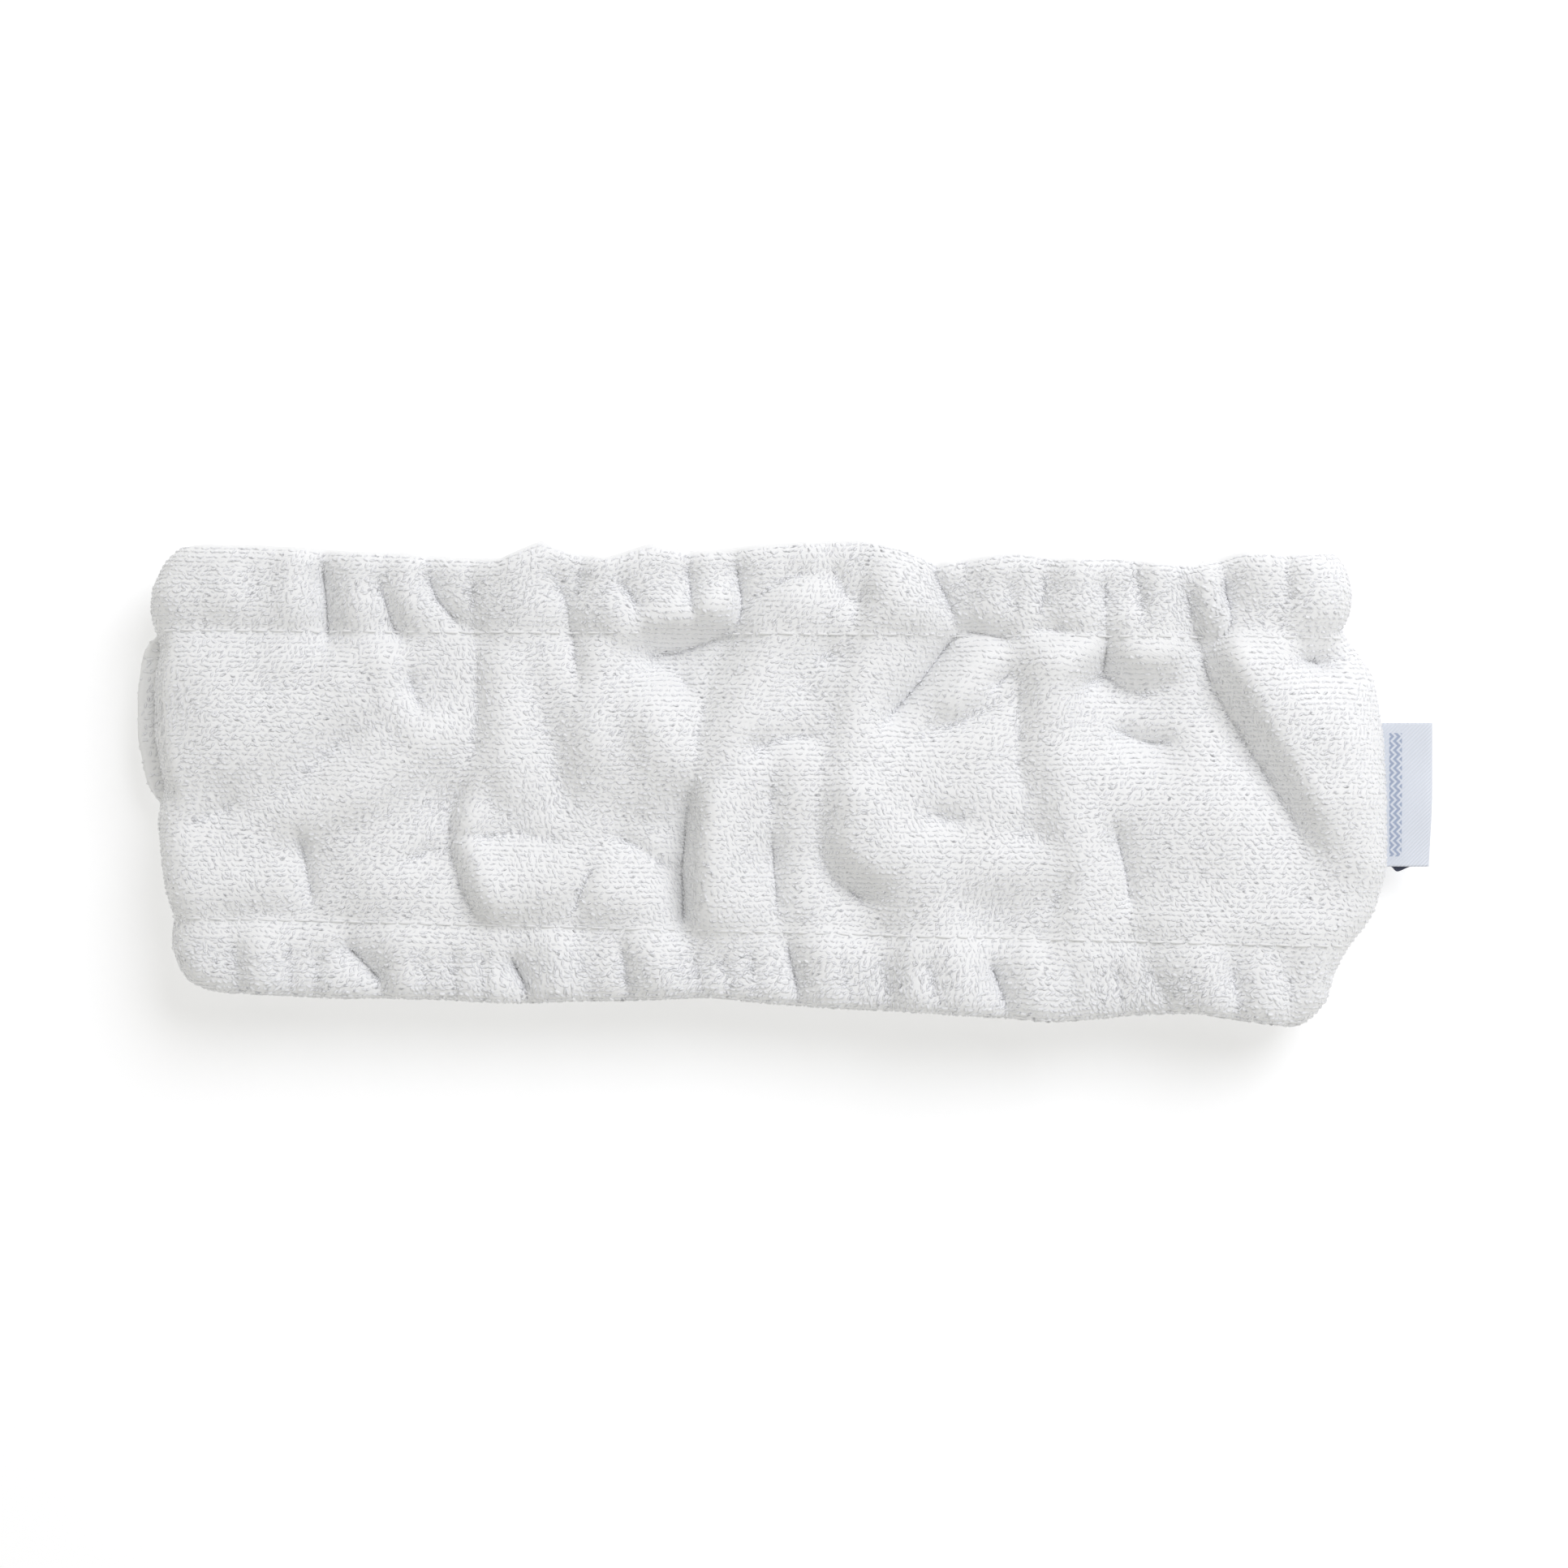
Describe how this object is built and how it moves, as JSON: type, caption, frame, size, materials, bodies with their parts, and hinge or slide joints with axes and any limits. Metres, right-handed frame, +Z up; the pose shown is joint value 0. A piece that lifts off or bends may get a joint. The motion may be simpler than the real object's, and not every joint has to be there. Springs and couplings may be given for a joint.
{
  "type": "terry cloth headband",
  "caption": "Wide towelling headband lying flat: a gathered terry loop with a stitched elastic casing along each edge, a side seam and a folded ribbon label caught in it.",
  "frame": {"origin": "middle of the band's footprint, on the surface that it lies on", "axes": "+X along the flattened band, from the left fold to the label at the side seam; +Y from the lower casing to the upper casing, along the axis of the loop; +Z up, from the back ply to the front ply"},
  "size_m": [0.2292, 0.088, 0.021],
  "materials": {
    "towelling": "white cotton terry cloth with a loop pile, soft and matt",
    "elastic": "white braided flat elastic, matt",
    "thread": "white polyester sewing thread, slight sheen",
    "label_satin": "pale blue-white woven satin ribbon with a woven blue border, silky"
  },
  "bodies": {
    "band": {"towelling_sleeve": "towelling", "upper_casing": "towelling", "lower_casing": "towelling", "upper_elastic": "elastic", "lower_elastic": "elastic", "upper_hem_stitching": "thread", "lower_hem_stitching": "thread", "upper_hem_overlock": "thread", "lower_hem_overlock": "thread"},
    "seam_end": {"front_seam_allowance": "towelling", "back_seam_allowance": "towelling", "side_seam_overlock": "thread", "side_seam_stitching": "thread", "label_tail": "label_satin"},
    "label": {"label": "label_satin"}
  },
  "joints": [
    {"name": "band_stretch", "type": "slide", "parent": "band", "child": "seam_end", "axis": [1, 0, 0], "range_m": [0, 0.07], "stiffness_N_per_m": 90, "deforming": ["towelling_sleeve", "upper_casing", "lower_casing", "upper_elastic", "lower_elastic", "upper_hem_stitching", "lower_hem_stitching", "upper_hem_overlock", "lower_hem_overlock"]},
    {"name": "label_flap", "type": "hinge", "parent": "seam_end", "child": "label", "pos_m": [0.1073, -0.0019, 0.0105], "axis": [0, 1, 0], "range_deg": [-70, 70], "stiffness_Nm_per_rad": 0.0002}
  ]
}
